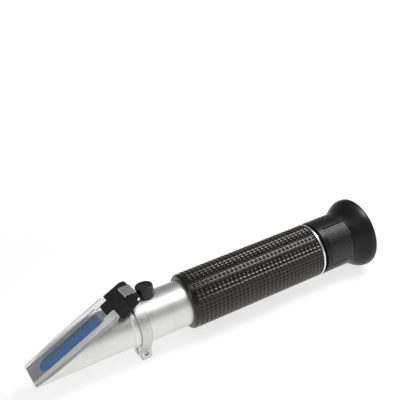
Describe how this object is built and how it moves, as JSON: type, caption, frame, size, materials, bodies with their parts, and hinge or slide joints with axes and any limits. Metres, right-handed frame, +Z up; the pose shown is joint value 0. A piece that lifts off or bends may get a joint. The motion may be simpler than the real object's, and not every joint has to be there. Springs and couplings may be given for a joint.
{
  "type": "hand-held brix refractometer",
  "caption": "Hand-held optical refractometer with a hinged clear cover over a sloping prism, a calibration screw under a cap, a ribbed grip and a turning eyepiece.",
  "frame": {"origin": "centre of the bounding box in plan, on the surface that the clamp's lugs and the eyecup's rim rest on", "axes": "+X along the optical axis from the prism end to the eyepiece, +Z up through the cover's hinge"},
  "size_m": [0.1642, 0.033, 0.033],
  "materials": {
    "nose_metal": "satin",
    "band_metal": "cast, satin",
    "trim_metal": "polished",
    "steel": "brushed",
    "black_steel": "satin",
    "hinge_black": "matte",
    "clear_plate": "clear",
    "prism_glass": "polished, blue",
    "lens_glass": "clear, coated",
    "sealant": "matte",
    "grip_rubber": "matte",
    "cup_rubber": "semi-matte",
    "cap_rubber": "matte",
    "seal_rubber": "matte",
    "brass": "turned",
    "inner_black": "matte black anodised"
  },
  "bodies": {
    "body": {"prism_housing": "nose_metal", "measuring_prism": "prism_glass", "prism_seal": "sealant", "sealing_ring": "seal_rubber", "barrel": "nose_metal", "clamp_band": "band_metal", "clamp_screw": "steel", "hinge_base": "hinge_black", "hinge_base_screws": "black_steel", "calibration_bush": "brass", "anchor_ring": "inner_black", "strip_screw": "steel", "baffle_tube": "inner_black", "reticle_disc": "lens_glass", "reticle_ring": "inner_black", "rubber_grip": "grip_rubber", "trim_ring": "trim_metal", "eyepiece_seat": "inner_black"},
    "cover": {"daylight_plate": "clear_plate", "cover_holder": "hinge_black", "hinge_pin": "steel", "leaf_spring": "black_steel"},
    "calibration_cap": {"calibration_cap": "cap_rubber"},
    "calibration_screw": {"calibration_screw": "brass"},
    "compensator": {"bimetal_strip": "steel", "objective_cell": "brass", "objective_lens": "lens_glass"},
    "focus_tube": {"lens_tube": "inner_black", "lens_retainer": "inner_black", "field_lens": "lens_glass", "lens_spacer": "inner_black", "eye_lens": "lens_glass"},
    "eyecup": {"eyecup": "cup_rubber"}
  },
  "joints": [
    {"name": "cover_hinge", "type": "hinge", "parent": "body", "child": "cover", "pos_m": [-0.03395, 0, 0.03075], "axis": [0, 1, 0], "range_deg": [0, 98]},
    {"name": "cap_pull", "type": "slide", "parent": "body", "child": "calibration_cap", "axis": [0, 0, 1], "range_m": [0, 0.006]},
    {"name": "calibration_turn", "type": "hinge", "parent": "body", "child": "calibration_screw", "pos_m": [-0.02795, 0, 0.026], "axis": [0, 0, 1], "range_deg": [-180, 180]},
    {"name": "compensator_tilt", "type": "hinge", "parent": "body", "child": "compensator", "pos_m": [-0.01395, 0, 0.02305], "axis": [0, 1, 0], "range_deg": [-0.71, 0.71]},
    {"name": "focus_slide", "type": "slide", "parent": "body", "child": "focus_tube", "axis": [1, 0, 0], "range_m": [-0.0008, 0.00125]},
    {"name": "eyecup_turn", "type": "hinge", "parent": "focus_tube", "child": "eyecup", "pos_m": [0.06785, 0, 0.0165], "axis": [1, 0, 0], "range_deg": [-140, 220]}
  ],
  "couplings": [
    {"joint": "calibration_turn", "follows": "compensator_tilt", "ratio": 251.33},
    {"joint": "focus_slide", "follows": "eyecup_turn", "m_per_rad": 0.00031831}
  ]
}
